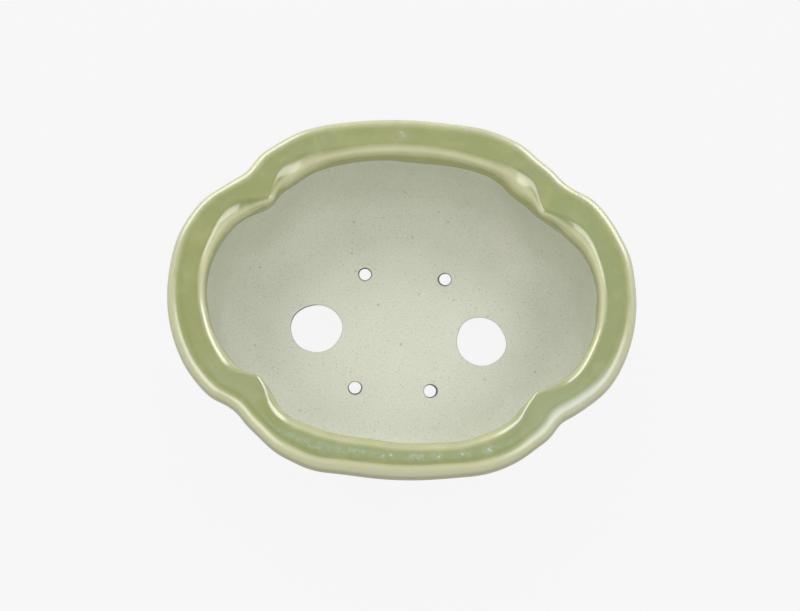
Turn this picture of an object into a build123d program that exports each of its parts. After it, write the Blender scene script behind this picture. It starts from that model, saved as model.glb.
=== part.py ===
from build123d import *

import os
from dataclasses import dataclass, fields, replace
from math import cos, radians, sin, sqrt

# A four-lobed bonsai pot, luted from a floor, a wall, a rolled lip and four bracket feet, and glazed.
# Millimetres. Z is up, the feet stand on z = 0, the length runs along X and the front is at -Y.
# The origin is the middle of the base.

# Overall sizes, over the glaze
pot_length = 200.0
pot_width = 161.6
pot_height = 70.0

# Outside of the lip: a flat arc on each side, a shoulder at each end of it, and a notch between lobes.
# An end lobe's length runs from the end of the pot in to the centres of the side lobes' shoulders.
lip_side_radius = 145.4
lip_end_radius = 69.6
lip_side_shoulder_radius = 37.2
lip_end_shoulder_radius = 39.9
lip_notch_radius = 21.0
lip_end_lobe_length = 67.1
lip_end_angle = 29.1

# Mouth, inside the lip: fuller lobes that meet in sharp cusps
mouth_side_radius = 113.5
mouth_end_radius = 48.6
mouth_side_shoulder_radius = 28.7
mouth_end_shoulder_radius = 29.7
mouth_end_lobe_length = 54.4
mouth_end_angle = 30.6

# Section of the lip
lip_width = 15.8
lip_depth = 10.6
lip_round_share = 0.49
mouth_round = 3.0
cusp_radius = 0.8

# Wall, which curves in towards the base
wall_thickness = 7.0
wall_taper = 13.5
wall_curve_power = 2.8
wall_height_shares = (0.0, 0.06, 0.15, 0.3, 0.5, 0.75, 1.0)

# Outside of the wall at its base, where the lobes are softer
base_side_radius = 123.0
base_end_radius = 47.5
base_side_shoulder_radius = 22.0
base_end_shoulder_radius = 22.0
base_notch_radius = 30.0
base_end_lobe_length = 47.7

# Inside of the wall under the lip, where the notches are softer than the cusps above them
throat_notch_radius = 14.0

# Inside of the wall at its base
well_side_radius = 116.0
well_end_radius = 42.0
well_side_shoulder_radius = 24.0
well_end_shoulder_radius = 24.0
well_notch_radius = 45.0
well_end_lobe_length = 42.9

# Floor, with a cove where it meets the wall
floor_thickness = 5.0
cove_radius = 12.0
cove_angles = (0.0, 25.0, 50.0, 70.0, 90.0)
cavity_height_shares = (0.5, 0.75, 1.0)

# Holes in the floor, cut by hand and so a little uneven, as shares of half the length and width
drain_hole_diameter = 23.0
wire_hole_diameter = 6.5
drain_hole_place_shares = ((-0.371, 0.0), (0.351, -0.022))
wire_hole_place_shares = ((-0.178, 0.334), (0.174, 0.329), (-0.188, -0.321), (0.142, -0.313))

# Bracket feet, one under each notch, with a two-lobed arch between them
foot_height = 10.0
foot_width = 12.0
foot_setback = 1.2
foot_taper = 1.5
side_arch_length = 62.0
end_arch_length = 40.0
arch_lip_share = 0.1
arch_lobe_share = 0.45

# Glaze
glaze_thickness = 0.7
glaze_drop = 8.0
bare_base_band = 2.0

# How far a cut runs past what it cuts
overrun = 2.0


@dataclass(frozen=True)
class Outline:
    """A closed outline of four lobes, the same in each quarter.

    Going round a quarter, a side arc, a side shoulder, a notch, an end shoulder and an end arc meet
    in tangents. The side shoulder's centre lies an end lobe's length in from the end, and the angle
    says how far the end arc runs from the middle of the end.
    """

    half_length: float
    half_width: float
    side_radius: float
    end_radius: float
    side_shoulder: float
    end_shoulder: float
    notch_radius: float
    end_lobe_length: float
    end_angle: float

    def grown(self, distance):
        """The parallel outline this far outside, with the same arc centres."""
        return Outline(
            self.half_length + distance,
            self.half_width + distance,
            self.side_radius + distance,
            self.end_radius + distance,
            self.side_shoulder + distance,
            self.end_shoulder + distance,
            self.notch_radius - distance,
            self.end_lobe_length + distance,
            self.end_angle,
        )

    def towards(self, other, share):
        """The outline this share of the way from here to another."""
        mixed = []
        for field in fields(self):
            start = getattr(self, field.name)
            end = getattr(other, field.name)
            mixed.append(start + (end - start) * share)
        return Outline(*mixed)


def corner_points(outline):
    """Ends and middles of a quarter's shoulder, notch and shoulder arcs, from the back to the right."""
    side_centre = Vector(0, outline.half_width - outline.side_radius)
    side_reach = outline.side_radius - outline.side_shoulder
    shoulder_x = outline.half_length - outline.end_lobe_length
    side_way = Vector(shoulder_x, sqrt(side_reach**2 - shoulder_x**2)).normalized()
    side_shoulder = side_centre + side_way * side_reach
    end_centre = Vector(outline.half_length - outline.end_radius, 0)
    end_way = Vector(cos(radians(outline.end_angle)), sin(radians(outline.end_angle)))
    end_shoulder = end_centre + end_way * (outline.end_radius - outline.end_shoulder)

    # The notch circle touches both shoulder circles from outside
    between = end_shoulder - side_shoulder
    along = between.normalized()
    outward = Vector(-along.Y, along.X)
    to_side = outline.side_shoulder + outline.notch_radius
    to_end = outline.end_shoulder + outline.notch_radius
    reach = (to_side**2 - to_end**2 + between.length**2) / (2 * between.length)
    notch = side_shoulder + along * reach + outward * sqrt(to_side**2 - reach**2)

    side_to_notch = (notch - side_shoulder).normalized()
    end_to_notch = (notch - end_shoulder).normalized()
    return [
        side_shoulder + side_way * outline.side_shoulder,
        side_shoulder + (side_way + side_to_notch).normalized() * outline.side_shoulder,
        side_shoulder + side_to_notch * outline.side_shoulder,
        notch - (side_to_notch + end_to_notch).normalized() * outline.notch_radius,
        end_shoulder + end_to_notch * outline.end_shoulder,
        end_shoulder + (end_way + end_to_notch).normalized() * outline.end_shoulder,
        end_shoulder + end_way * outline.end_shoulder,
    ]


def outline_face(outline, height):
    """The outline as a level face at this height."""
    corner = corner_points(outline)
    back_right = [(p.X, p.Y) for p in corner]
    front_right = [(x, -y) for x, y in reversed(back_right)]
    front_left = [(-x, -y) for x, y in back_right]
    back_left = [(-x, y) for x, y in reversed(back_right)]
    right_middle = [(outline.half_length, 0)]
    front_middle = [(0, -outline.half_width)]
    left_middle = [(-outline.half_length, 0)]
    back_middle = [(0, outline.half_width)]
    ring = back_right + right_middle + front_right + front_middle
    ring += front_left + left_middle + back_left + back_middle
    arcs = Curve()
    for i in range(0, len(ring), 2):
        arcs += ThreePointArc(ring[i], ring[i + 1], ring[(i + 2) % len(ring)])
    return (Plane.XY.offset(height) * make_face(arcs)).faces()[0]


# Outlines of the clay: the glaze lies outside them, and inside the mouth
glazed_lip = Outline(
    pot_length / 2,
    pot_width / 2,
    lip_side_radius,
    lip_end_radius,
    lip_side_shoulder_radius,
    lip_end_shoulder_radius,
    lip_notch_radius,
    lip_end_lobe_length,
    lip_end_angle,
)
glazed_mouth = Outline(
    pot_length / 2 - lip_width,
    pot_width / 2 - lip_width,
    mouth_side_radius,
    mouth_end_radius,
    mouth_side_shoulder_radius,
    mouth_end_shoulder_radius,
    mouth_round + cusp_radius,
    mouth_end_lobe_length,
    mouth_end_angle,
)
clay_lip = glazed_lip.grown(-glaze_thickness)
clay_mouth = glazed_mouth.grown(glaze_thickness)
wall_top = clay_lip.grown(clay_mouth.half_length + wall_thickness - clay_lip.half_length)
throat = replace(clay_mouth, notch_radius=throat_notch_radius)
wall_base = Outline(
    wall_top.half_length - wall_taper,
    wall_top.half_width - wall_taper,
    base_side_radius,
    base_end_radius,
    base_side_shoulder_radius,
    base_end_shoulder_radius,
    base_notch_radius,
    base_end_lobe_length,
    lip_end_angle,
)
well_base = Outline(
    wall_base.half_length - wall_thickness,
    wall_base.half_width - wall_thickness,
    well_side_radius,
    well_end_radius,
    well_side_shoulder_radius,
    well_end_shoulder_radius,
    well_notch_radius,
    well_end_lobe_length,
    mouth_end_angle,
)

# Levels
floor_top = foot_height + floor_thickness
lip_bottom = pot_height - lip_depth
lip_clay_bottom = lip_bottom + glaze_thickness
lip_clay_top = pot_height - glaze_thickness


def taper_share(height):
    """How much of the wall's taper is reached at this height: none at its top, all at its base."""
    share = (height - foot_height) / (lip_clay_bottom - foot_height)
    return max(1 - share, 0) ** wall_curve_power


def wall_envelope(skin):
    """The outside of the wall as one solid from base to lip, grown by a skin's thickness."""
    sections = []
    for share in wall_height_shares:
        height = foot_height + (lip_clay_bottom - foot_height) * share
        outline = wall_top.towards(wall_base, taper_share(height))
        sections.append(outline_face(outline.grown(skin), height))
    return loft(sections)


def cavity():
    """The hollow inside the wall, with a cove of circular section at the floor."""
    sections = []
    for angle in cove_angles:
        height = floor_top + cove_radius * (1 - cos(radians(angle)))
        outline = throat.towards(well_base, taper_share(height))
        sections.append(outline_face(outline.grown(-cove_radius * (1 - sin(radians(angle)))), height))
    cove_top = floor_top + cove_radius
    for share in cavity_height_shares:
        height = cove_top + (lip_clay_bottom - cove_top) * share
        outline = throat.towards(well_base, taper_share(height))
        sections.append(outline_face(outline, height))
    return loft(sections)


def rolled_ring(outside, inside, bottom, top, outer_round, inner_round):
    """A level ring with both outer edges and the upper inner edge rounded."""
    height = top - bottom
    block = extrude(outline_face(outside, bottom), height)
    block = fillet(block.faces().filter_by(Axis.Z).edges(), outer_round)
    hole = extrude(outline_face(inside, bottom - overrun), height + 2 * overrun)
    ring = block - hole
    top_face = ring.faces().filter_by(Axis.Z).sort_by(Axis.Z)[-1]
    return fillet(top_face.inner_wires()[0].edges(), inner_round)


def make_lip():
    """The rolled clay lip, standing out past the wall."""
    outer_round = lip_round_share * lip_depth - glaze_thickness
    inner_round = mouth_round - glaze_thickness
    return rolled_ring(clay_lip, clay_mouth, lip_clay_bottom, lip_clay_top, outer_round, inner_round)


def make_glaze_coat(envelope, lip):
    """The glaze over the lip, down the upper inner face and down the outer wall."""
    outer_round = lip_round_share * lip_depth
    coat = rolled_ring(glazed_lip, glazed_mouth, lip_bottom, pot_height, outer_round, mouth_round)
    glaze_bottom = Plane.XY.offset(foot_height + bare_base_band)
    coat += split(wall_envelope(glaze_thickness), bisect_by=glaze_bottom, keep=Keep.TOP)
    drop_level = pot_height - glaze_drop
    below_drop = extrude(outline_face(clay_mouth, lip_bottom - overrun), drop_level - lip_bottom + overrun)
    return coat - envelope - lip - below_drop


def make_floor(envelope):
    """The base slab, with its drain holes and tie-wire holes."""
    slab = split(envelope, bisect_by=Plane.XY.offset(floor_top), keep=Keep.BOTTOM)
    middle = foot_height + floor_thickness / 2
    drill_length = floor_thickness + 2 * overrun
    holes = [(drain_hole_diameter, place) for place in drain_hole_place_shares]
    holes += [(wire_hole_diameter, place) for place in wire_hole_place_shares]
    for diameter, (x_share, y_share) in holes:
        place = Pos(x_share * pot_length / 2, y_share * pot_width / 2, middle)
        slab -= place * Cylinder(diameter / 2, drill_length)
    return slab


def make_wall(envelope):
    """The lobed wall that stands on the floor."""
    return split(envelope, bisect_by=Plane.XY.offset(floor_top), keep=Keep.TOP) - cavity()


def arch_face(arch_length):
    """The opening between two feet, seen from the side: a step of two rounded lobes at each end."""
    half = arch_length / 2
    lobe = foot_height * arch_lobe_share
    lift = foot_height * arch_lip_share
    turn = lobe * sin(radians(45))
    first_middle = (half - lobe + turn, lift + turn)
    second_middle = (half - 2 * lobe + turn, lift + lobe + turn)
    corners = [(half, lift), (half - lobe, lift + lobe), (half - 2 * lobe, lift + 2 * lobe)]
    edges = Curve()
    for side in (1, -1):
        points = [(side * x, y) for x, y in corners]
        edges += Line((side * half, -overrun), points[0])
        edges += ThreePointArc(points[0], (side * first_middle[0], first_middle[1]), points[1])
        edges += ThreePointArc(points[1], (side * second_middle[0], second_middle[1]), points[2])
        edges += Line(points[2], (points[2][0], foot_height + overrun))
    edges += Line((-half, -overrun), (half, -overrun))
    edges += Line(
        (corners[2][0], foot_height + overrun),
        (-corners[2][0], foot_height + overrun),
    )
    return make_face(edges)


def make_feet():
    """The four bracket feet: a tapered ring under the base, cut by arches along both ways."""
    outside = wall_base.grown(-foot_setback)
    inside = outside.grown(-foot_width)
    ring = loft([outline_face(outside.grown(-foot_taper), 0), outline_face(outside, foot_height)])
    ring -= extrude(outline_face(inside, -overrun), foot_height + 2 * overrun)
    ring -= extrude(Plane.XZ * arch_face(side_arch_length), pot_width, both=True)
    ring -= extrude(Plane.YZ * arch_face(end_arch_length), pot_length, both=True)
    feet = {}
    for foot in ring.solids():
        middle = foot.center()
        depth_name = "front" if middle.Y < 0 else "back"
        side_name = "left" if middle.X < 0 else "right"
        feet[f"foot_{depth_name}_{side_name}"] = foot
    return feet


def make_pot():
    """Every piece of the pot by name."""
    envelope = wall_envelope(0)
    lip = make_lip()
    pieces = {
        "floor": make_floor(envelope),
        "wall": make_wall(envelope),
        "lip": lip,
        "glaze_coat": make_glaze_coat(envelope, lip),
    }
    pieces.update(make_feet())
    return pieces


os.makedirs("parts", exist_ok=True)
for name, piece in make_pot().items():
    export_step(piece, f"parts/{name}.step")
    print(name, len(piece.solids()), round(piece.volume))
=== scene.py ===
from math import cos, pi, radians, sin, tan

import bmesh
import bpy
import numpy as np
from bpy.props import FloatProperty, FloatVectorProperty, PointerProperty
from mathutils import Matrix, Vector


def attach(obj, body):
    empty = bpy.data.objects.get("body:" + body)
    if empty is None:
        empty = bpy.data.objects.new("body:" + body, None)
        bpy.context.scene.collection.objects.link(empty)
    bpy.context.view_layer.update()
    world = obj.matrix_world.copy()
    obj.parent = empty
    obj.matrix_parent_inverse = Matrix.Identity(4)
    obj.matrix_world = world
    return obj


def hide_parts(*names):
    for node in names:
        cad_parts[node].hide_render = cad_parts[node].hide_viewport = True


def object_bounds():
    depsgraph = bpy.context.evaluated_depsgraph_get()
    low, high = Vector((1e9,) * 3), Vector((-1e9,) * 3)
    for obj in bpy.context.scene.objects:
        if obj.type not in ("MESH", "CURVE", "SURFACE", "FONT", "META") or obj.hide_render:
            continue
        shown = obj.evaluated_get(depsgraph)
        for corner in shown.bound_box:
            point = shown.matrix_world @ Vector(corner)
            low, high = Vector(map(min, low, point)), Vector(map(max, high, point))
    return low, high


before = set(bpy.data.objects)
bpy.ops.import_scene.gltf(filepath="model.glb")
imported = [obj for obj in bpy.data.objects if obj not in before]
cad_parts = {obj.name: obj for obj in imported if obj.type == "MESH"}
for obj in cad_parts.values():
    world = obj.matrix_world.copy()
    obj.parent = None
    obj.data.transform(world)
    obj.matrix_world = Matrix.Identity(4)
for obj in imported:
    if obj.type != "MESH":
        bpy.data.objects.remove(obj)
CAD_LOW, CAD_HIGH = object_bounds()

bl_info = {
    "name": "Four-lobed glazed bonsai pot",
    "version": (1, 0, 0),
    "blender": (4, 5, 0),
    "location": "3D View > Sidebar > Bonsai Pot",
    "description": "Builds a lobed bonsai pot with its rolled lip, running glaze, feet and studio",
    "category": "Add Mesh",
}

MM = 0.001
BODY = "root"
FEET = ("foot_front_left", "foot_front_right", "foot_back_left", "foot_back_right")

# How much light the studio's paper gives back
PAPER = 0.8

# Outlines of the pot. Each has the radii of the side arc, end arc, side shoulder, end shoulder and notch,
# then how far the end lobe reaches in from the end, in metres, and the half angle of the end arc in degrees.
LIP_ARCS = (0.1454, 0.0696, 0.0372, 0.0399, 0.0210, 0.0671, 29.1)
MOUTH_ARCS = (0.1135, 0.0486, 0.0287, 0.0297, 0.0038, 0.0544, 30.6)
BASE_ARCS = (0.1230, 0.0475, 0.0220, 0.0220, 0.0300, 0.0477, 29.1)
WELL_ARCS = (0.1160, 0.0420, 0.0240, 0.0240, 0.0160, 0.0429, 30.6)

# How an outline's nine numbers change where the whole outline moves outwards: the notch gets tighter, and
# the angle stays.
GROWTH = np.array([1.0, 1.0, 1.0, 1.0, 1.0, 1.0, -1.0, 1.0, 0.0])

# Samples on the end arc, end shoulder, notch, side shoulder and side arc of a quarter
ARC_SAMPLES = (20, 28, 14, 28, 24)

# Where the potter's hands pushed the clay out of true: the direction on the plan and the spread in degrees,
# and then how far it went in millimetres, outwards and, as the imaginary part, anticlockwise.
OUTSIDE_PUSHES = (
    (14, 5, 0.6),
    (33, 7, 1.6),
    (50, 6, -1.7),
    (68, 8, 1.1),
    (117, 7, 0.5),
    (138, 5, 1.8),
    (150, 5, -1.1),
    (167, 7, 0.7),
    (213, 5, 1.1),
    (229, 6, -1.3),
    (247, 7, 1.5),
    (297, 6, 0.8),
    (319, 4, 1.6),
    (331, 7, -1.3),
)
MOUTH_PUSHES = (
    (33, 5, 1.5 + 0.8j),
    (34, 9, -1.1),
    (142, 5, 1.6 - 0.5j),
    (143, 13, -0.8),
    (190, 10, -0.7),
    (201, 5, -0.7),
    (211, 4.5, 1.1 + 0.3j),
    (221, 6, -1.3),
    (262, 9, -0.9),
    (295, 8, 1.1),
    (326, 5, 2),
    (326, 10, -0.9),
)
THROAT_PUSHES = (
    (0, 5, -0.8),
    (23, 7, -0.7),
    (48, 8, -4),
    (87, 14, -1.1),
    (132, 8, -1),
)

# Holes of the floor: middle x and y and the two radii in millimetres, the turn in degrees, and then how far
# the bottom of the hole stands from its top along x and y, in millimetres
DRAIN_HOLES = ((-37.6, 0.7, 11.3, 10.9, 0, 0.6, 0.9), (35, -1.2, 10.6, 11.3, 30, -0.1, 1.4))
WIRE_HOLES = (
    (-17.8, 26.99, 3, 3, 0, -0.1, 1.62),
    (17.4, 26.58, 3, 3, 0, 0.2, 1.87),
    (-18.8, -25.94, 3.05, 3.05, 0, -0.25, 1.92),
    (14.2, -25.29, 3.05, 3.1, 0, -0.45, 1.62),
)

# Pale crystals in the glaze: the direction on the plan and the spread in degrees, and the strength
CRYSTAL_PATCHES = (
    (93.5, 1.2, 0.9),
    (229, 5, 0.35),
    (243, 8, 0.45),
    (258, 6, 0.4),
    (268.7, 2.4, 0.8),
    (279, 3.6, 1),
    (286.5, 2.2, 0.8),
    (294.3, 2.2, 1),
    (303, 2, 1),
    (311, 5, 0.3),
)

# Milky glaze beside the two front cusps and, last, the bloom on the bead, which is partly a painted
# highlight on its front right: in the same way
MILK_PATCHES = ((211, 9, 0.1), (327, 11, 0.14))
BLOOM_HIGHLIGHT_PATCH = ((332, 14, 1),)

# Values over the glaze, from nothing to about one
GLAZE_LAYERS = ("thin", "pool", "line", "bead", "under", "inner", "rust", "crystal", "matt", "cool", "milk_and_highlight")

# Softboxes: the direction to the middle on the plan and above the horizon, the width and height seen from
# the pot, all in degrees, the strength, and whether it is one that only the glaze mirrors
SOFTBOXES = (
    ("light_right", -18, 56, 58, 20, 0.7, False),
    ("light_left", 204, 54, 60, 22, 0.36, False),
    ("light_back", 103, 48, 80, 50, 0.53, False),
    ("light_front", 275, 42, 60, 22, 0.34, False),
    ("mirrored_right", -17, 47, 48, 28, 0.84, True),
    ("mirrored_left", 197, 44, 50, 28, 0.78, True),
    ("mirrored_back_right", 52, 11, 36, 29, 1.1, True),
    ("mirrored_back_left", 128, 9, 36, 25, 1.0, True),
)


def length(name, description, default):
    """A length property, in metres."""
    return FloatProperty(name=name, description=description, default=default, unit="LENGTH", precision=4)


def angle(name, description, degrees):
    """An angle property, from degrees."""
    return FloatProperty(name=name, description=description, default=radians(degrees), subtype="ANGLE")


def share(name, description, default, high=1.0):
    """A plain number property from nothing up to its highest value."""
    return FloatProperty(name=name, description=description, default=default, min=0.0, max=high, precision=3)


def colour(name, description, red, green, blue):
    """A colour property from three parts of 255, kept as linear light."""
    parts = np.array([red, green, blue]) / 255
    linear = np.where(parts <= 0.04045, parts / 12.92, ((parts + 0.055) / 1.055) ** 2.4)
    return FloatVectorProperty(
        name=name, description=description, default=linear.tolist(), subtype="COLOR", min=0.0, max=1.0
    )


class PotSizes(bpy.types.PropertyGroup):
    """Sizes of the pot, over the glaze."""

    pot_length: length("Length", "Length over the lip", CAD_HIGH.x - CAD_LOW.x)
    pot_width: length("Width", "Width over the lip", CAD_HIGH.y - CAD_LOW.y)
    pot_height: length("Height", "Height from the soles to the lip", CAD_HIGH.z - CAD_LOW.z)
    lip_width: length("Lip width", "From the outside of the lip to the mouth", 0.0158)
    lip_depth: length("Lip depth", "Height of the lip's outside", 0.0106)
    lip_round: length("Lip rounding", "Radius of the lip's outer edges", 0.0052)
    lip_dish: length("Lip dish", "How far the top of the lip dips between its edges", 0.00012)
    mouth_round: length("Mouth rounding", "Width of the mouth's edge at the middle of a lobe", 0.0034)
    front_round: length("Front rounding", "Width of the mouth's edge at the front", 0.0068)
    shoulder_round: length("Shoulder rounding", "Width of the mouth's edge beside a cusp", 0.0054)
    cusp_round: length("Cusp rounding", "Width of the mouth's edge at a cusp", 0.0022)
    crest_drop: length("Crest drop", "How far the crest lies under the lip's top at the most", 0.0052)
    edge_power: share("Edge power", "Two makes the mouth's edge an ellipse, one a bevel", 1.5, 2.0)
    throat_lean: length("Throat lean", "How far the lip's inner face leans in, lower down", 0.0010)
    throat_notch: length("Throat notch", "Radius of the notches inside, under the lip", 0.014)
    well_notch: length("Well notch", "Radius of the notches inside, at the floor", 0.045)
    neck_round: length("Neck rounding", "Hollow rounding of the glaze in the corner under the lip", 0.0022)
    wall_thickness: length("Wall thickness", "Thickness of the clay wall", 0.007)
    wall_taper: length("Wall taper", "How far the wall comes in from lip to base", 0.0135)
    wall_power: share("Wall curve", "How late the wall turns in towards the base", 2.8, 6.0)
    foot_height: length("Foot height", "Height of the feet", 0.010)
    floor_thickness: length("Floor thickness", "Thickness of the base slab", 0.005)
    cove_radius: length("Cove radius", "Hollow rounding between floor and wall", 0.012)
    glaze_thickness: length("Glaze thickness", "Thickness of the glaze", 0.0007)
    glaze_drop: length("Glaze drop", "How far the glaze runs down inside the mouth", 0.0098)
    bare_band: length("Bare band", "Bare clay between the glaze and the base", 0.002)
    hole_edge: length("Hole edge", "Wiped rounding of the hole edges", 0.0006)
    drain_flare: length("Drain flare", "How much wider a drain hole is below, on its radius", 0.0006)
    wire_taper: length("Wire hole taper", "How much narrower a wire hole is below, on its radius", 0.0004)


class GlazeLook(bpy.types.PropertyGroup):
    """Colours of the glaze."""

    olive: colour("Olive", "Glaze of full thickness", 148, 154, 93)
    leaf: colour("Leaf green", "Cooler patches of the glaze", 145, 157, 106)
    straw: colour("Straw", "Warmer patches of the glaze", 159, 157, 98)
    cream: colour("Cream", "Glaze that has run thin over an edge", 214, 214, 167)
    bead: colour("Bead", "Thin glaze on the outside of the lip", 196, 197, 153)
    # The under colour is painted shade on the underside of the lip, darkest at the front.
    under: colour("Under the bead", "Thick glaze that hangs under the lip", 156, 154, 112)
    inner: colour("Inner face", "Glaze on the inner face of the lip", 155, 157, 90)
    rust: colour("Rust line", "Edge of the glaze on the bare clay", 146, 137, 88)
    pool: colour("Pool", "Thick glaze that has settled along the lip", 148, 162, 115)
    line: colour("Line", "Dark edge of the thick glaze, before it breaks over the bead", 137, 146, 88)
    crystal: colour("Crystals", "Pale crystals in the pooled glaze", 192, 209, 200)
    # This milky colour is milky glaze and, on the front right of the bead, partly a painted highlight.
    milk_and_highlight: colour("Milk", "Milky blue bloom on the outside of the lip", 196, 204, 184)
    gloss: share("Roughness", "Roughness of the glaze", 0.17)


class ClayLook(bpy.types.PropertyGroup):
    """Colours of the bare clay."""

    body: colour("Body", "Fired clay", 213, 216, 201)
    cloud: colour("Cloud", "Cooler clouds in the clay", 203, 208, 191)
    blush: colour("Blush", "Warmer clouds in the clay", 221, 219, 204)
    speck: colour("Specks", "Iron specks", 134, 134, 112)
    # This dark colour is painted shade on the walls of the holes.
    cut: colour("Cut clay", "Walls of the holes", 96, 94, 76)
    roughness: share("Roughness", "Roughness of the clay", 0.78)


class StudioLook(bpy.types.PropertyGroup):
    """Lamps, floor and camera."""

    lens: FloatProperty(name="Lens", description="Focal length in millimetres", default=164.3, min=1.0)
    distance: length("Distance", "From the camera to the middle of the lip", 1.5533)
    azimuth: angle("Azimuth", "Turn of the camera to the right", 3.43)
    elevation: angle("Elevation", "Height of the camera", 71.0)
    aim: FloatVectorProperty(
        name="Aim", description="Point that the camera looks at", default=(-0.00049, -0.00372, 0.0647),
        subtype="TRANSLATION", unit="LENGTH",
    )
    backdrop: colour("Backdrop", "Floor and backdrop as the camera sees them", 247, 247, 247)
    plain_share: share("Plain share", "How much of the floor's look doesn't depend on the lamps", 0.965)
    fill: share("Fill", "Strength of the light from all round", 0.28, 4.0)
    box_strength: share("Softbox strength", "Brightness of the softboxes", 3.4, 50.0)
    box_distance: length("Softbox distance", "From the softboxes to the pot", 1.3)


# Shapes


def grown(outline, distance):
    """The parallel outlines this far outside: each length grows by it, and the notch shrinks by it."""
    return outline + np.asarray(distance, float)[..., None] * GROWTH


def between(first, second, portion):
    """The outlines this portion of the way from the first to the second."""
    return first + (second - first) * np.asarray(portion, float)[..., None]


def round_the_pot(quarter, mirrored_x, mirrored_y):
    """A full turn, anticlockwise from the right end, out of a quarter that runs from the end to the back."""
    reverse = quarter[..., ::-1]
    parts = [quarter, mirrored_x(reverse), mirrored_x(mirrored_y(quarter)), mirrored_y(reverse)]
    return np.concatenate([part[..., :-1] for part in parts], axis=-1)


def arc_places():
    """Arc number and share along that arc for each sample of a quarter."""
    arc = np.repeat(np.arange(5), ARC_SAMPLES)
    along = np.concatenate([np.arange(count) / count for count in ARC_SAMPLES])
    return np.append(arc, 4), np.append(along, 1.0)


def lobed_ring(outline):
    """Points round the outlines and the outward directions there, as complex numbers, a row each.

    A quarter has five arcs that meet in tangents. A point is its arc's centre plus the arc's radius times
    the outward direction, whose angle runs evenly along the arc. The notch circle touches both shoulders
    from outside, so its radius counts as negative.
    """
    lengths = np.moveaxis(np.atleast_2d(outline), -1, 0)
    half_length, half_width, side, end, side_corner, end_corner, notch, lobe, half_angle = lengths
    side_centre = 1j * (half_width - side)
    side_reach = side - side_corner
    across = half_length - lobe
    side_way = (across + 1j * np.sqrt(side_reach**2 - across**2)) / side_reach
    side_middle = side_centre + side_way * side_reach
    end_centre = half_length - end + 0j
    end_middle = end_centre + np.exp(1j * np.radians(half_angle)) * (end - end_corner)
    gap = end_middle - side_middle
    to_side, to_end = side_corner + notch, end_corner + notch
    step = (to_side**2 - to_end**2 + abs(gap) ** 2) / (2 * abs(gap))
    notch_middle = side_middle + gap / abs(gap) * (step + 1j * np.sqrt(to_side**2 - step**2))

    centres = np.stack([end_centre, end_middle, notch_middle, side_middle, side_centre], axis=-1)
    radii = np.stack([end, end_corner, -notch, side_corner, side], axis=-1)
    turns = [0 * half_angle, np.radians(half_angle), np.angle(notch_middle - end_middle)]
    turns += [np.angle(notch_middle - side_middle), np.angle(side_way), 0 * half_angle + pi / 2]
    turns = np.stack(turns, axis=-1)
    arc, along = arc_places()
    outward = np.exp(1j * (turns[:, arc] + (turns[:, arc + 1] - turns[:, arc]) * along))
    quarter = centres[:, arc] + radii[:, arc] * outward
    mirror_x, mirror_y = (lambda z: -np.conj(z)), np.conj
    return round_the_pot(quarter, mirror_x, mirror_y), round_the_pot(outward, mirror_x, mirror_y)


def bell(distance, spread):
    """One at no distance, falling smoothly to nothing past the spread."""
    return np.exp(-((distance / spread) ** 2))


def ramp(value, low, high):
    """Nothing below low, one above high, and a smooth rise between."""
    portion = np.clip((value - low) / (high - low), 0, 1)
    return portion * portion * (3 - 2 * portion)


def patches(degrees, table):
    """Sum of a table's bells at these directions on the plan."""
    middle, spread, strength = np.array(table).T
    apart = (degrees[..., None] - middle.real + 180) % 360 - 180
    return bell(apart, spread.real) @ strength


def pushed(position, pushes):
    """How far the pushes move each point."""
    return patches(np.degrees(np.angle(position)), pushes) * MM * position / abs(position)


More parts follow.
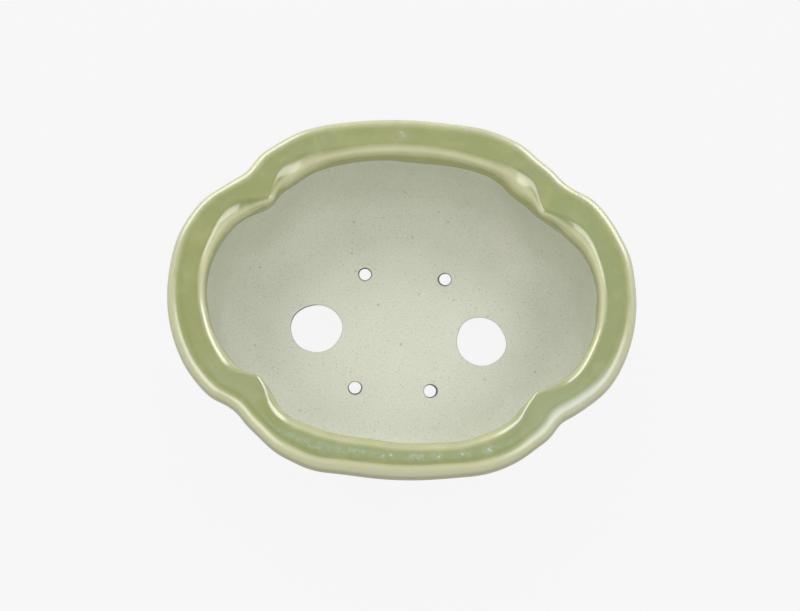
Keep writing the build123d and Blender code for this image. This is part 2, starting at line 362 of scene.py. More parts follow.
class PotShape:
    """The pot's outlines and levels, worked out from its sizes."""

    def __init__(self, sizes):
        self.sizes = sizes
        half_length, half_width = sizes.pot_length / 2, sizes.pot_width / 2
        thickness = sizes.glaze_thickness
        self.lip = np.array([half_length, half_width, *LIP_ARCS])
        self.mouth = np.array([half_length - sizes.lip_width, half_width - sizes.lip_width, *MOUTH_ARCS])
        self.clay_mouth = grown(self.mouth, thickness)
        self.throat = grown(self.clay_mouth, -sizes.throat_lean)
        self.throat[6] = sizes.throat_notch
        clay_lip = grown(self.lip, -thickness)
        self.wall_top = grown(clay_lip, self.clay_mouth[0] + sizes.wall_thickness - clay_lip[0])
        base = self.wall_top[:2] - sizes.wall_taper
        self.wall_base = np.array([*base, *BASE_ARCS])
        self.well_base = np.array([*(base - sizes.wall_thickness), *WELL_ARCS])
        self.well_base[6] = sizes.well_notch
        self.floor_top = sizes.foot_height + sizes.floor_thickness
        self.lip_bottom = sizes.pot_height - sizes.lip_depth
        self.joint = self.lip_bottom + thickness
        ring, _ = lobed_ring(self.mouth)
        self.cusp_distance = self.distance_from_cusps(ring[0])
        self.plan_angle = np.angle(ring[0])
        self.plan_degrees = np.degrees(self.plan_angle)
        self.frontness = -np.sin(self.plan_angle)

    def distance_from_cusps(self, ring):
        """Length along the mouth from each sample to the nearest cusp."""
        steps = abs(np.roll(ring, -1) - ring)
        along = np.concatenate([[0], np.cumsum(steps)[:-1]])
        quarter = len(ring) // 4
        cusp = ARC_SAMPLES[0] + ARC_SAMPLES[1] + ARC_SAMPLES[2] // 2
        cusps = np.array([cusp, 2 * quarter - cusp, 2 * quarter + cusp, 4 * quarter - cusp])
        apart = abs(along[:, None] - along[cusps])
        return np.minimum(apart, steps.sum() - apart).min(axis=1)

    def taper(self, height):
        """How much of the wall's taper is reached: a power of the way down from the lip to the base."""
        portion = (height - self.sizes.foot_height) / (self.joint - self.sizes.foot_height)
        return np.clip(1 - portion, 0, 1) ** self.sizes.wall_power

    def by_hand(self, position, height, across):
        """The points moved as the potter's hands moved them, more towards the lip.

        Across is nothing on the inside of the pot and one on its outside. Inside, the throat under the lip
        moves by itself.
        """
        rise = ramp(height, self.sizes.foot_height, self.joint)
        throat = ramp(height, self.sizes.pot_height, self.sizes.pot_height - 1.1 * self.sizes.glaze_drop)
        throat = throat * ramp(height, self.floor_top + self.sizes.cove_radius, self.joint)
        inside = pushed(position, MOUTH_PUSHES) + throat * (1 - across) * pushed(position, THROAT_PUSHES)
        outside = pushed(position, OUTSIDE_PUSHES)
        return position + rise * (inside + (outside - inside) * across)

    def brow_line(self):
        """Where the mouth's edge meets the lip's top: far out on the shoulders, close at a cusp.

        The shoulders reach furthest out 15 mm from a cusp, and half as far again at the back left.
        """
        sizes = self.sizes
        ring, outward = lobed_ring(self.mouth)
        back_left = 1 + 0.5 * bell(self.plan_degrees - 140, 20)
        shoulder = sizes.shoulder_round * back_left - sizes.mouth_round
        shoulder = shoulder * bell(self.cusp_distance - 15 * MM, 12 * MM)
        front = (sizes.front_round - sizes.mouth_round) * ramp(self.frontness, 0.45, 0.85)
        width = sizes.mouth_round + np.maximum(shoulder, front)
        rise = ramp(self.cusp_distance, 1 * MM, 17 * MM)
        return ring + outward * (sizes.cusp_round + (width - sizes.cusp_round) * rise)

    def glaze_edge(self):
        """Level at which the glaze ends inside the mouth: the sum of three waves round the rim."""
        wave = np.sin(3 * self.plan_angle + 0.6) + 0.6 * np.sin(7 * self.plan_angle + 2.1)
        wave = wave + 0.5 * np.sin(13 * self.plan_angle + 4.0)
        return self.sizes.pot_height - self.sizes.glaze_drop + 0.35 * MM * wave

    def mouth_face(self, inset, bottom, rows):
        """Up the inner face of the lip to its crest, and over the rounded edge to the brow.

        The edge is a quarter of a superellipse in section. Without an inset the face is the glaze's own,
        which thins out towards its lower edge. The last value is the distance from the crest: on the plan
        over the edge, and downwards, as less than nothing, on the face.
        """
        sizes = self.sizes
        ring, _ = lobed_ring(grown(self.mouth, inset))
        crest, _ = lobed_ring(self.mouth)
        brow = self.brow_line()
        depth = np.minimum(abs(brow - crest), sizes.crest_drop)
        spring = sizes.pot_height - depth
        portion = np.linspace(0, 1, rows[0], endpoint=False)[:, None]
        face_height = bottom + (spring - bottom) * portion
        throat, throat_way = lobed_ring(grown(self.throat, inset - sizes.glaze_thickness))
        face = ring + (throat - ring) * ramp(spring - face_height, 0, spring - self.joint)
        if inset == 0:
            thinnest, run_out = 0.12 * MM, 2.8 * MM
            thinning = 1 - ramp(face_height - bottom, 0, run_out)
            face = face + throat_way * (sizes.glaze_thickness - thinnest) * thinning
        turn = np.linspace(0, pi / 2, rows[1], endpoint=False)[:, None]
        out = 1 - np.cos(turn) ** (2 / sizes.edge_power)
        edge = ring + (brow - ring) * out
        edge_height = spring + (depth - inset) * np.sin(turn) ** (2 / sizes.edge_power)
        distance = np.concatenate([face_height - spring, abs(brow - crest) * out])
        return np.concatenate([face, edge]), np.concatenate([face_height, edge_height]), distance

    def lip_top(self, inset, rows):
        """Across the top of the lip, straight from the brow to the outer rounding, with a shallow dish."""
        sizes = self.sizes
        outer, outer_way = lobed_ring(grown(self.lip, -inset))
        start = self.brow_line()
        stop = outer - outer_way * (sizes.lip_round - inset)
        portion = np.linspace(0, 1, rows, endpoint=False)[:, None]
        dish = sizes.lip_dish * np.sin(pi * portion) ** 2 * ramp(abs(stop - start), 3 * MM, 8 * MM)
        return start + (stop - start) * portion, sizes.pot_height - inset - dish, portion

    def lip_side(self, inset, rows):
        """Round the outside of the lip: a half circle from its top to its underside."""
        sizes = self.sizes
        ring, outward = lobed_ring(grown(self.lip, -inset))
        radius = sizes.lip_round - inset
        turn = np.linspace(0, pi, rows)[:, None]
        middle = sizes.pot_height - sizes.lip_depth / 2
        straight = np.sign(np.cos(turn)) * (sizes.lip_depth / 2 - sizes.lip_round)
        height = middle + straight + radius * np.cos(turn)
        return ring - outward * radius * (1 - np.sin(turn)), height, turn

    def lip_section(self, inset, bottom, rows):
        """Up the inner face, across the top and round the outside, with the crest distances and turns."""
        face, face_height, crest = self.mouth_face(inset, bottom, rows[:2])
        top, top_height, portion = self.lip_top(inset, rows[2])
        side, side_height, turn = self.lip_side(inset, rows[3])
        across = ramp(portion, 0, 1)
        blocks = (face, face_height, 0.0), (top, top_height, across), (side, side_height, 1.0)
        return joined(*blocks), crest, turn

    def neck(self, inset, rows):
        """From under the lip into the wall: a hollow quarter circle."""
        sizes = self.sizes
        ring, outward = lobed_ring(grown(self.wall_top, sizes.glaze_thickness - inset))
        radius = sizes.neck_round + inset
        turn = np.linspace(0, pi / 2, rows)[:, None]
        out = radius * (1 - np.sin(turn))
        height = self.lip_bottom + inset - radius * (1 - np.cos(turn))
        return ring + outward * out, height

    def wall_side(self, skin, heights):
        """Down the outside of the wall at these heights, grown by a skin's thickness."""
        outline = grown(between(self.wall_top, self.wall_base, self.taper(heights)), skin)
        ring, _ = lobed_ring(outline)
        return ring, heights[:, None]

    def hollow(self, rows):
        """From the floor up the cove and the inner wall to the lip."""
        sizes = self.sizes
        turn = np.linspace(0, pi / 2, rows[0], endpoint=False)
        cove = self.floor_top + sizes.cove_radius * (1 - np.cos(turn))
        rise = np.linspace(self.floor_top + sizes.cove_radius, self.joint, rows[1])
        height = np.concatenate([cove, rise])
        inset = np.concatenate([sizes.cove_radius * (1 - np.sin(turn)), 0 * rise])
        outline = grown(between(self.throat, self.well_base, self.taper(height)), -inset)
        ring, _ = lobed_ring(outline)
        return ring, height[:, None]


def finish_mesh(name, points, loops, starts, layers, sharp):
    """A mesh object at the origin from points, corner indices, face starts and named point values."""
    mesh = bpy.data.meshes.new(name)
    mesh.vertices.add(len(points))
    mesh.vertices.foreach_set("co", np.ascontiguousarray(points, np.float32).ravel())
    mesh.loops.add(len(loops))
    mesh.loops.foreach_set("vertex_index", np.ascontiguousarray(loops, np.int32))
    mesh.polygons.add(len(starts))
    mesh.polygons.foreach_set("loop_start", np.ascontiguousarray(starts, np.int32))
    mesh.update(calc_edges=True)
    mesh.validate()
    for layer, values in layers.items():
        stored = mesh.attributes.new(layer, "FLOAT", "POINT").data
        stored.foreach_set("value", np.ascontiguousarray(values, np.float32).ravel())
    mesh.shade_smooth()
    mesh.set_sharp_from_angle(angle=radians(sharp))
    piece = bpy.data.objects.new(name, mesh)
    bpy.context.scene.collection.objects.link(piece)
    return piece


def closed_skin(name, position, height, layers=None, sharp=50.0):
    """A closed skin: rows go once round the section and columns once round the pot, both joined up."""
    points = np.stack([position.real, position.imag, height], axis=-1).reshape(-1, 3)
    corner = np.arange(position.size).reshape(position.shape)
    above, beside = np.roll(corner, -1, axis=0), np.roll(corner, -1, axis=1)
    across = np.roll(above, -1, axis=1)
    quads = np.stack([corner, above, across, beside], axis=-1).reshape(-1)
    return finish_mesh(name, points, quads, np.arange(0, len(quads), 4), layers or {}, sharp)


def joined(*blocks):
    """One grid each of positions, heights and shares across the rim, out of blocks of rows."""
    full = [np.broadcast_arrays(*block) for block in blocks]
    return [np.concatenate(parts) for parts in zip(*full)]


def settle(piece, slot, material, *nodes):
    """Gives a piece its material, puts it under its body and hides the solids that it stands for; the slot
    is not used.
    """
    piece.data.materials.clear()
    piece.data.materials.append(material)
    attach(piece, BODY)
    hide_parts(*nodes)


def fill_flat(mesh, loops, upwards):
    """Closes the area between level loops of vertices, an outline with holes in it, with flat triangles."""
    sheet = bmesh.new()
    sheet.from_mesh(mesh)
    sheet.verts.ensure_lookup_table()
    edges = []
    for loop in loops:
        corners = [sheet.verts[i] for i in loop]
        for first, second in zip(corners, corners[1:] + corners[:1]):
            edges.append(sheet.edges.get((first, second)) or sheet.edges.new((first, second)))
    made = bmesh.ops.triangle_fill(sheet, use_beauty=True, edges=edges, normal=(0, 0, 1 if upwards else -1))
    for face in made["geom"]:
        if isinstance(face, bmesh.types.BMFace):
            face.smooth = True
            if (face.normal.z > 0) != upwards:
                face.normal_flip()
    sheet.to_mesh(mesh)
    sheet.free()


def hole_ring(hole, radius_change, samples):
    """A hole's edge, made by hand: an ellipse, a little uneven, grown by the change."""
    x, y, first, second, turn = hole[:5]
    way = np.linspace(0, 2 * pi, samples, endpoint=False)
    uneven = 1 + 0.012 * np.sin(3 * way + x) + 0.008 * np.sin(5 * way + y)
    ellipse = (first * np.cos(way) + 1j * second * np.sin(way)) * uneven * MM
    ellipse = ellipse * (1 + radius_change / abs(ellipse))
    return (x + 1j * y) * MM + ellipse * np.exp(1j * radians(turn))


# Materials


def put(tree, kind, values=None, **settings):
    """Adds a node, sets its settings, and its inputs from values or from other nodes' outputs."""
    node = tree.nodes.new(kind)
    for key, value in settings.items():
        setattr(node, key, value)
    for key, value in (values or {}).items():
        socket = node.inputs[key]
        if isinstance(value, bpy.types.NodeSocket):
            tree.links.new(value, socket)
        else:
            socket.default_value = value
    return node


def maths(tree, operation, first, second=0.0, third=0.0, clamp=False):
    """A Math node's output."""
    values = {0: first, 1: second, 2: third}
    return put(tree, "ShaderNodeMath", values, operation=operation, use_clamp=clamp).outputs[0]


def step_up(tree, value, low, high, top=1.0):
    """Nothing below low, the top value above high, and a smooth rise between."""
    values = {"Value": value, "From Min": low, "From Max": high, "To Min": 0.0, "To Max": top}
    return put(tree, "ShaderNodeMapRange", values, interpolation_type="SMOOTHSTEP").outputs["Result"]


def blended(tree, factor, first, second):
    """Two colours mixed by a factor."""
    pair = [c if isinstance(c, bpy.types.NodeSocket) else (*c, 1.0) for c in (first, second)]
    return put(tree, "ShaderNodeMix", {0: factor, 6: pair[0], 7: pair[1]}, data_type="RGBA").outputs[2]


def noise(tree, place, scale, detail=2.0, roughness=0.5, distortion=0.0):
    """A Noise Texture's value."""
    values = dict(Vector=place, Scale=scale, Detail=detail, Roughness=roughness, Distortion=distortion)
    return put(tree, "ShaderNodeTexNoise", values).outputs["Fac"]


def random_cells(tree, place, scale):
    """Distance to the nearest of the points scattered at random, and three random numbers of that point."""
    cells = put(tree, "ShaderNodeTexVoronoi", {"Vector": place, "Scale": scale}, feature="F1").outputs
    return cells["Distance"], put(tree, "ShaderNodeSeparateColor", {0: cells["Color"]}).outputs


def new_group(name, numbers, result):
    """A shader node group with a place and named numbers as inputs and one result, and its end nodes."""
    tree = bpy.data.node_groups.new(name, "ShaderNodeTree")
    tree.interface.new_socket("Place", in_out="INPUT", socket_type="NodeSocketVector")
    for label, default in numbers.items():
        socket = tree.interface.new_socket(label, in_out="INPUT", socket_type="NodeSocketFloat")
        socket.default_value = default
    tree.interface.new_socket(result, in_out="OUTPUT", socket_type="NodeSocketFloat")
    return tree, tree.nodes.new("NodeGroupInput").outputs, tree.nodes.new("NodeGroupOutput").inputs


def iron_specks_group():
    """Small dark specks: cells whose own random number is high are dots of uneven size."""
    tree, given, out = new_group("iron specks", {"Size": 1.0, "Amount": 0.3}, "Mask")
    distance, chance = random_cells(tree, given["Place"], maths(tree, "DIVIDE", 1 / MM, given["Size"]))
    chosen = maths(tree, "GREATER_THAN", chance[0], maths(tree, "SUBTRACT", 1.0, given["Amount"]))
    reach = maths(tree, "MULTIPLY_ADD", chance[1], 0.3, 0.12)
    dot = maths(tree, "SUBTRACT", 1.0, maths(tree, "DIVIDE", distance, reach), clamp=True)
    tree.links.new(maths(tree, "MULTIPLY", step_up(tree, dot, 0.0, 0.6), chosen), out["Mask"])
    return tree


def clouding_group():
    """Soft clouds of colour: a slow noise bent by itself, pulled apart about its middle."""
    tree, given, out = new_group("clouding", {"Size": 20.0, "Contrast": 1.0}, "Value")
    value = noise(tree, given["Place"], maths(tree, "DIVIDE", 1 / MM, given["Size"]), 4.0, 0.55, 0.4)
    contrast = maths(tree, "MULTIPLY", given["Contrast"], 2.5)
    value = maths(tree, "MULTIPLY_ADD", maths(tree, "SUBTRACT", value, 0.5), contrast, 0.5, clamp=True)
    tree.links.new(value, out["Value"])
    return tree


def use_group(tree, name, make, **values):
    """The result of a node of the named group, which is built the first time."""
    group = bpy.data.node_groups.get(name) or make()
    return put(tree, "ShaderNodeGroup", values, node_tree=group).outputs[0]


def blank_material(name):
    """A material with its node tree, its Principled BSDF's inputs and the place on the piece."""
    material = bpy.data.materials.new(name)
    material.use_nodes = True
    tree = material.node_tree
    shader = next(node for node in tree.nodes if node.type == "BSDF_PRINCIPLED")
    return material, tree, shader.inputs, tree.nodes.new("ShaderNodeTexCoord").outputs["Object"]


def attribute(tree, name):
    """A point value of the piece."""
    return put(tree, "ShaderNodeAttribute", attribute_name=name, attribute_type="GEOMETRY").outputs["Fac"]


def clay_material(look):
    """Bare fired clay: soft clouds, iron specks, a fine sandy grain and painted shade on the walls of the
    holes.
    """
    name = "bare speckled clay"
    if name in bpy.data.materials:
        return bpy.data.materials[name]
    material, tree, shader, place = blank_material(name)
    cool = use_group(tree, "clouding", clouding_group, Place=place, Size=34.0, Contrast=1.1)
    warm = use_group(tree, "clouding", clouding_group, Place=place, Size=13.0, Contrast=0.9)
    base = blended(tree, maths(tree, "MULTIPLY", cool, 0.8), look.body, look.cloud)
    base = blended(tree, maths(tree, "MULTIPLY", warm, 0.45), base, look.blush)
    grain = noise(tree, place, 1400.0, 3.0, 0.6)
    base = blended(tree, step_up(tree, grain, 0.42, 0.72, 0.22), base, look.speck)
    for size, amount, depth in ((1.1, 0.3, 0.4), (2.2, 0.04, 0.45)):
        specks = use_group(tree, "iron specks", iron_specks_group, Place=place, Size=size, Amount=amount)
        base = blended(tree, maths(tree, "MULTIPLY", specks, depth), base, look.speck)
    # Painted shade: the walls of the holes take the dark colour.
    base = blended(tree, attribute(tree, "cut"), base, look.cut)
    tree.links.new(base, shader["Base Color"])
    rough = maths(tree, "MULTIPLY_ADD", grain, 0.16, look.roughness - 0.08)
    tree.links.new(rough, shader["Roughness"])
    height = maths(tree, "MULTIPLY_ADD", noise(tree, place, 260.0, 2.0), 0.8, grain)
    bump = put(tree, "ShaderNodeBump", {"Strength": 0.35, "Distance": 0.12 * MM, "Height": height})
    tree.links.new(bump.outputs["Normal"], shader["Normal"])
    shader["IOR"].default_value = 1.4
    return material


def glaze_material(look):
    """Running glaze: green where thick, cream where it breaks over an edge, blue crystals where it pools."""
    name = "olive running glaze"
    if name in bpy.data.materials:
        return bpy.data.materials[name]
    material, tree, shader, place = blank_material(name)
    wide = use_group(tree, "clouding", clouding_group, Place=place, Size=30.0, Contrast=1.2)
    close = use_group(tree, "clouding", clouding_group, Place=place, Size=9.0, Contrast=1.1)
    cool = maths(tree, "ADD", attribute(tree, "cool"), wide)
    base = blended(tree, maths(tree, "MULTIPLY", cool, 0.6, clamp=True), look.olive, look.leaf)
    base = blended(tree, maths(tree, "MULTIPLY", close, 0.4), base, look.straw)
    # The milky layer is partly a painted highlight on the front right of the bead.
    # The under layer paints shade below the bead.
    for layer in ("pool", "line", "bead", "milk_and_highlight", "under", "inner"):
        base = blended(tree, attribute(tree, layer), base, getattr(look, layer))
    wander = maths(tree, "SUBTRACT", close, 0.5)
    ragged = maths(tree, "MULTIPLY_ADD", wander, 0.15, attribute(tree, "thin"), clamp=True)
    base = blended(tree, ragged, base, look.cream)
    base = blended(tree, attribute(tree, "rust"), base, look.rust)
    distance, chance = random_cells(tree, place, 700.0)
    needle = step_up(tree, maths(tree, "SUBTRACT", 0.6, distance), 0.0, 0.5)
    clump = step_up(tree, noise(tree, place, 330.0, 2.0), 0.36, 0.62)
    crystal = maths(tree, "MULTIPLY", clump, maths(tree, "MULTIPLY_ADD", needle, chance[0], 0.35))
    crystal = maths(tree, "MULTIPLY", attribute(tree, "crystal"), crystal)
    base = blended(tree, crystal, base, look.crystal)
    tree.links.new(base, shader["Base Color"])
    rough = maths(tree, "MULTIPLY_ADD", close, 0.04, look.gloss)
    rough = maths(tree, "MULTIPLY_ADD", attribute(tree, "matt"), 0.26, rough)
    rough = maths(tree, "MULTIPLY_ADD", crystal, 0.2, rough)
    tree.links.new(rough, shader["Roughness"])
    height = maths(tree, "MULTIPLY_ADD", crystal, 0.4, noise(tree, place, 70.0, 1.0))
    bump = put(tree, "ShaderNodeBump", {"Strength": 0.15, "Distance": 0.2 * MM, "Height": height})
    tree.links.new(bump.outputs["Normal"], shader["Normal"])
    shader["IOR"].default_value = 2.0
    return material


def seen_directly(tree):
    """One for what the camera sees, directly or in a reflection or through glass, and nothing for light."""
    path = tree.nodes.new("ShaderNodeLightPath").outputs
    mirrored = maths(tree, "MAXIMUM", path["Is Glossy Ray"], path["Is Transmission Ray"])
    return maths(tree, "MAXIMUM", path["Is Camera Ray"], mirrored)


def studio_material(look):
    """Pale paper: mostly a plain tone to the camera and in reflections, and the rest takes the shadow."""
    material = bpy.data.materials.new("studio paper")
    material.use_nodes = True
    tree = material.node_tree
    tree.nodes.clear()
    paper = put(tree, "ShaderNodeBsdfDiffuse", {"Color": (*[PAPER] * 3, 1.0)}).outputs[0]
    tone = (look.backdrop[0] - PAPER * (1 - look.plain_share)) / look.plain_share
    plain = put(tree, "ShaderNodeEmission", {"Color": (*[tone] * 3, 1.0), "Strength": 1.0}).outputs[0]
    portion = maths(tree, "MULTIPLY", seen_directly(tree), look.plain_share)
    mix = put(tree, "ShaderNodeMixShader", {0: portion, 1: paper, 2: plain})
    put(tree, "ShaderNodeOutputMaterial", {"Surface": mix.outputs[0]})
    return material


# Operators


class POT_OT_clay_floor(bpy.types.Operator):
    """Roll out the base slab and pierce its drain holes and wire holes"""

    bl_idname = "pot.clay_floor"
    bl_label = "Clay floor"

    def execute(self, context):
        """The slab's side follows the wall. Each hole is a ring carried down a section with wiped edges."""
        sizes = context.scene.pot_sizes
        shape = PotShape(sizes)
        bottom, top = sizes.foot_height, shape.floor_top
        edge = sizes.hole_edge
        turn = np.linspace(0, pi / 2, 6)
        wiped = np.concatenate([edge * (1 - np.sin(turn)), edge * (1 - np.cos(turn))])
        depth = np.concatenate([top - edge * (1 - np.cos(turn)), bottom + edge * (1 - np.sin(turn))])
        fall = (top - depth) / (top - bottom)
        parts = [(*shape.wall_side(0.0, np.linspace(top, bottom, 7)), 0.0)]
        for hole in DRAIN_HOLES + WIRE_HOLES:
            samples, flare = (96, sizes.drain_flare) if hole in DRAIN_HOLES else (48, -sizes.wire_taper)
            changes = wiped + flare * ramp(fall, 0.1, 1)
            rings = np.stack([hole_ring(hole, change, samples) for change in changes])
            slant = fall * (hole[5] + 1j * hole[6]) * MM
            # The third value is painted shade: the hole walls turn dark below their top edge.
            parts.append((rings + slant[:, None], depth[:, None], ramp(fall, 0.02, 0.2)[:, None]))
        points, faces, tops, bottoms, hole_wall_shades, count = [], [], [], [], [], 0
        for number, part in enumerate(parts):
            position, level, cut = np.broadcast_arrays(*part)
            points.append(np.stack([position.real, position.imag, level], axis=-1).reshape(-1, 3))
            hole_wall_shades.append(cut.ravel())
            corner = np.arange(position.size).reshape(position.shape) + count
            side = np.roll(corner, -1, axis=1)
            order = [corner[:-1], corner[1:], side[1:], side[:-1]]
            quads = np.stack(order if number == 0 else order[::-1], axis=-1)
            faces.append(quads.reshape(-1))
            tops.append(corner[0].tolist())
            bottoms.append(corner[-1].tolist())
            count += position.size
        loops = np.concatenate(faces)
        starts = np.arange(0, len(loops), 4)
        layers = {"cut": np.concatenate(hole_wall_shades)}
        sharp = 35.0
        piece = finish_mesh("clay_floor", np.concatenate(points), loops, starts, layers, sharp)
        fill_flat(piece.data, tops, True)
        fill_flat(piece.data, bottoms, False)
        piece.data.set_sharp_from_angle(angle=radians(sharp))
        settle(piece, "clay", clay_material(context.scene.pot_clay), "floor")
        return {"FINISHED"}


class POT_OT_clay_wall(bpy.types.Operator):
    """Raise the lobed wall from the floor to the lip"""

    bl_idname = "pot.clay_wall"
    bl_label = "Clay wall"

    def execute(self, context):
        """Up the cove and the hollow, across the joint under the lip, and down the outside."""
        shape = PotShape(context.scene.pot_sizes)
        outside = shape.wall_side(0.0, np.linspace(shape.joint, shape.floor_top, 24))
        position, height, across = joined((*shape.hollow((16, 24)), 0.0), (*outside, 1.0))
        piece = closed_skin("clay_wall", shape.by_hand(position, height, across), height)
        settle(piece, "clay", clay_material(context.scene.pot_clay), "wall")
        return {"FINISHED"}


class POT_OT_clay_lip(bpy.types.Operator):
    """Roll the heavy clay lip"""

    bl_idname = "pot.clay_lip"
    bl_label = "Clay lip"

    def execute(self, context):
        """The glazed section set back by the glaze's thickness, closed by the joint with the wall."""
        sizes = context.scene.pot_sizes
        shape = PotShape(sizes)
        bottom = shape.joint + 0 * shape.cusp_distance
        grids, _, _ = shape.lip_section(sizes.glaze_thickness, bottom, (8, 8, 8, 14))
        position, height, across = grids
        height = np.maximum(height, shape.joint)
        piece = closed_skin("clay_lip", shape.by_hand(position, height, across), height)
        settle(piece, "clay", clay_material(context.scene.pot_clay), "lip")
        return {"FINISHED"}


class POT_OT_glaze(bpy.types.Operator):
    """Pour the glaze over the lip, down the mouth and down the outer wall"""

    bl_idname = "pot.glaze"
    bl_label = "Glaze"

    def execute(self, context):
        """A closed skin: up the mouth, over the lip and down the wall, then back up inside the clay.

        At its lower end the skin curls round a half circle into the wall.
        """
        sizes = context.scene.pot_sizes
        shape = PotShape(sizes)
        edge = shape.glaze_edge()
        thick = sizes.glaze_thickness
        rows = (14, 20, 18, 26)
        over, crest, turn = shape.lip_section(0.0, edge, rows)
        neck = shape.neck(0.0, 8)
        glaze_end = sizes.foot_height + sizes.bare_band
        curl_size = 0.8 * MM
        drop = np.linspace(neck[1][-1, 0], glaze_end + curl_size, 26)[1:]
        wall = shape.wall_side(thick, drop)
        curl = np.linspace(0, pi, 7)[1:]
        swell = (thick + 0.1 * MM) / 2 * (1 + np.cos(curl)) - 0.1 * MM
        curl_height = glaze_end + curl_size * (1 - np.sin(curl))
        curl_height[-1] = glaze_end + 0.2 * MM
        roll = shape.wall_side(swell, curl_height)
        depth = 0.15 * MM
        back_up = shape.wall_side(-depth, np.linspace(glaze_end + 1.0 * MM, shape.lip_bottom, 14))
        under, _, _ = shape.lip_section(thick + depth, edge + 2 * depth, (4, 7, 6, 12))

        down = [(*part, 1.0) for part in (neck, wall, roll, back_up)]
        position, height, across = joined(over, *down, [grid[::-1] for grid in under])
        layers = self.layers(shape, crest, rows[2], turn, position, height)
        position = shape.by_hand(position, height, across)
        piece = closed_skin("glaze", position, height, layers)
        settle(piece, "glaze", glaze_material(context.scene.pot_glaze), "glaze_coat")
        return {"FINISHED"}

    def layers(self, shape, crest, top_rows, turn, position, height):
        """Where the glaze is thin, pooled, on the bead, on the inner face and so on.

        The face rows go up the inner face to the brow, the inward rows on to the outer rounding, and the
        outward rows from the brow to the lip's underside. Values on the face follow the distance from the
        crest, and those on the top the distance inwards from the bead. On the bead they follow the turn
        round it in degrees, where the top counts as less than nothing.
        """
        sizes = shape.sizes
        front = shape.frontness
        way = shape.plan_degrees
        layers = {name: np.zeros(position.shape) for name in GLAZE_LAYERS}
        face = slice(0, len(crest))
        inward = slice(0, len(crest) + top_rows)
        outward = slice(len(crest), inward.stop + len(turn))
        side = slice(inward.stop, outward.stop)

        mouth, _ = lobed_ring(shape.mouth)
        brow = np.minimum(abs(shape.brow_line() - mouth), 5.5 * MM)
        beside = bell(shape.cusp_distance - 10 * MM, 12 * MM)
        over_edge = 1 - ramp(crest / brow, 0.3 - 0.2 * beside, 1.15 - 0.5 * beside)
        over_edge = over_edge * (0.65 + 0.35 * ramp(crest / brow, 0, 0.35))
        on_face = np.where(crest > 0, over_edge, 0.65 * ramp(crest, -2.4 * MM, 0))
        layers["thin"][face] = on_face * (1 - 0.28 * ramp(front, 0, 0.8))
        layers["inner"][face] = ramp(-crest, 0.1 * MM, 1.3 * MM)
        layers["rust"][face] = bell(height[face] - shape.glaze_edge(), 0.4 * MM)

        ring, ring_way = lobed_ring(shape.lip)
        from_bead = abs(position[inward] - (ring - ring_way * sizes.lip_round))
        pooled = 0.1 + 0.25 * ramp(front, 0.2, 0.5) + 0.6 * ramp(front, 0.62, 0.9)
        layers["pool"][inward] = bell(from_bead - 3.4 * MM, 2.2 * MM) * pooled
        layers["line"][inward] = 0.6 * bell(from_bead - 0.8 * MM, 1.2 * MM) * ramp(front, -0.6, 0.6)
        crystals = patches(way, CRYSTAL_PATCHES)
        layers["crystal"][inward] = bell(from_bead - 3.0 * MM, 1.6 * MM) * crystals
        layers["cool"][inward] = ramp(np.cos(shape.plan_angle), 0.2, 1.0)
        notch = patches(way, MILK_PATCHES)
        layers["milk_and_highlight"][inward] = notch

        on_top = -np.degrees(from_bead[len(crest):] / sizes.lip_round)
        around = np.concatenate([on_top, np.degrees(turn) + 0 * front])
        begin = 1 + np.where(front > 0, 5 * front - 10 * front**2, 13 * front)
        layers["bead"][outward] = ramp(around, begin, 42 - np.where(front > 0, 24, 8) * front)
        # Painted shade: the underside of the bead takes the darker under colour, most of all at the front.
        layers["under"][side] = ramp(np.degrees(turn), 50, 74) * (0.15 + 0.85 * ramp(front, -0.2, 0.8))
        # Partly a painted highlight: the pale, rougher bloom on the front right of the bead.
        bloom_highlight = bell(around - 18, 22) * patches(way, BLOOM_HIGHLIGHT_PATCH)
        layers["milk_and_highlight"][outward] = np.maximum(bloom_highlight, notch * ramp(around, 0, -20))
        matt = layers["bead"][outward] * (0.4 + 0.6 * ramp(front, 0.7, 0.95))
        layers["matt"][outward] = matt + 0.5 * bloom_highlight
        return layers


class POT_OT_feet(bpy.types.Operator):
    """Finish the four bracket feet"""

    bl_idname = "pot.feet"
    bl_label = "Feet"

    def execute(self, context):
        """The feet keep their solids and take the glaze."""
        for name in FEET:
            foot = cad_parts[name]
            foot.data.materials.clear()
            foot.data.materials.append(glaze_material(context.scene.pot_glaze))
        return {"FINISHED"}


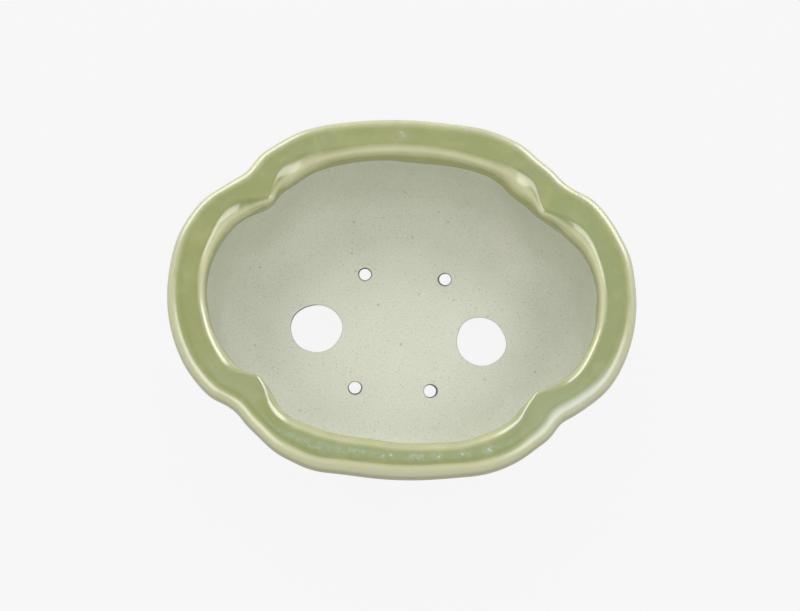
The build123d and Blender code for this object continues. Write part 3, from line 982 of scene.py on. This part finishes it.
class POT_OT_studio(bpy.types.Operator):
    """Set up the floor, the lamps and the camera"""

    bl_idname = "pot.studio"
    bl_label = "Studio"

    def execute(self, context):
        """A paper floor, the backdrop, the softboxes and the camera."""
        look = context.scene.pot_studio
        scene = context.scene
        bpy.ops.mesh.primitive_plane_add(size=8.0)
        floor = context.object
        floor.name = "studio_floor"
        floor.data.materials.append(studio_material(look))
        self.backdrop(scene, look)
        for box in SOFTBOXES:
            self.softbox(look, *box)
        self.camera(scene, look)
        scene.view_settings.view_transform = "Standard"
        return {"FINISHED"}

    def backdrop(self, scene, look):
        """Light from all round, which the camera sees as the backdrop's tone."""
        world = bpy.data.worlds.new("studio")
        world.use_nodes = True
        tree = world.node_tree
        tree.nodes.clear()
        lit = put(tree, "ShaderNodeBackground", {"Color": (1.0, 1.0, 1.0, 1.0), "Strength": look.fill})
        seen = put(tree, "ShaderNodeBackground", {"Color": (*look.backdrop, 1.0), "Strength": 1.0})
        way = tree.nodes.new("ShaderNodeTexCoord").outputs["Generated"]
        rise = put(tree, "ShaderNodeSeparateXYZ", {0: way}).outputs[2]
        camera_ray = tree.nodes.new("ShaderNodeLightPath").outputs["Is Camera Ray"]
        low = maths(tree, "SUBTRACT", 1.0, step_up(tree, rise, 0.1, 0.6))
        plain = maths(tree, "MULTIPLY", seen_directly(tree), maths(tree, "MAXIMUM", camera_ray, low))
        mix = put(tree, "ShaderNodeMixShader", {0: plain, 1: lit.outputs[0], 2: seen.outputs[0]})
        put(tree, "ShaderNodeOutputWorld", {"Surface": mix.outputs[0]})
        scene.world = world

    def softbox(self, look, name, azimuth, elevation, width, height, strength, mirrored):
        """A rectangular lamp that faces the pot, as wide and high as its angles seen from there."""
        lamp = bpy.data.lights.new(name, "AREA")
        lamp.shape = "RECTANGLE"
        lamp.size = 2 * look.box_distance * tan(radians(width / 2))
        lamp.size_y = 2 * look.box_distance * tan(radians(height / 2))
        lamp.energy = look.box_strength * strength * pi * lamp.size * lamp.size_y
        box = bpy.data.objects.new(name, lamp)
        box.visible_camera = False
        box.visible_diffuse = not mirrored
        box.visible_glossy = mirrored
        bpy.context.scene.collection.objects.link(box)
        turn, rise = radians(azimuth), radians(elevation)
        away = Vector((cos(turn) * cos(rise), sin(turn) * cos(rise), sin(rise)))
        side = Vector((0, 0, 1)).cross(away).normalized()
        turned = Matrix((side, away.cross(side), away)).transposed().to_4x4()
        box.matrix_world = Matrix.Translation(Vector((0, 0, CAD_HIGH.z)) + away * look.box_distance) @ turned

    def camera(self, scene, look):
        """A long lens, high in front of the pot."""
        data = bpy.data.cameras.new("photo_camera")
        data.lens = look.lens
        data.sensor_width = 36.0
        camera = bpy.data.objects.new("photo_camera", data)
        scene.collection.objects.link(camera)
        turn, rise = look.azimuth, look.elevation
        back = Vector((sin(turn) * cos(rise), -cos(turn) * cos(rise), sin(rise)))
        camera.location = Vector(look.aim) + back * look.distance
        camera.rotation_mode = "QUATERNION"
        camera.rotation_quaternion = (-back).to_track_quat("-Z", "Y")
        scene.camera = camera


class POT_PT_panel(bpy.types.Panel):
    """Sizes, colours and steps of the bonsai pot"""

    bl_idname = "POT_PT_panel"
    bl_label = "Bonsai Pot"
    bl_space_type = "VIEW_3D"
    bl_region_type = "UI"
    bl_category = "Bonsai Pot"

    def draw(self, context):
        layout = self.layout
        for operator in OPERATORS:
            layout.operator(operator.bl_idname)
        for name in GROUPS:
            box = layout.box()
            group = getattr(context.scene, name)
            for prop in group.bl_rna.properties:
                if prop.identifier not in ("rna_type", "name"):
                    box.prop(group, prop.identifier)


OPERATORS = (POT_OT_clay_floor, POT_OT_clay_wall, POT_OT_clay_lip, POT_OT_glaze, POT_OT_feet, POT_OT_studio)
GROUPS = {"pot_sizes": PotSizes, "pot_glaze": GlazeLook, "pot_clay": ClayLook, "pot_studio": StudioLook}


def register():
    for group in GROUPS.values():
        bpy.utils.register_class(group)
    for name, group in GROUPS.items():
        setattr(bpy.types.Scene, name, PointerProperty(type=group))
    for operator in OPERATORS:
        bpy.utils.register_class(operator)
    bpy.utils.register_class(POT_PT_panel)


def unregister():
    bpy.utils.unregister_class(POT_PT_panel)
    for operator in reversed(OPERATORS):
        bpy.utils.unregister_class(operator)
    for name, group in reversed(GROUPS.items()):
        delattr(bpy.types.Scene, name)
        bpy.utils.unregister_class(group)


def main():
    """Builds the pot and its studio."""
    register()
    bpy.ops.pot.clay_floor()
    bpy.ops.pot.clay_wall()
    bpy.ops.pot.clay_lip()
    bpy.ops.pot.glaze()
    bpy.ops.pot.feet()
    bpy.ops.pot.studio()


if __name__ == "__main__":
    main()
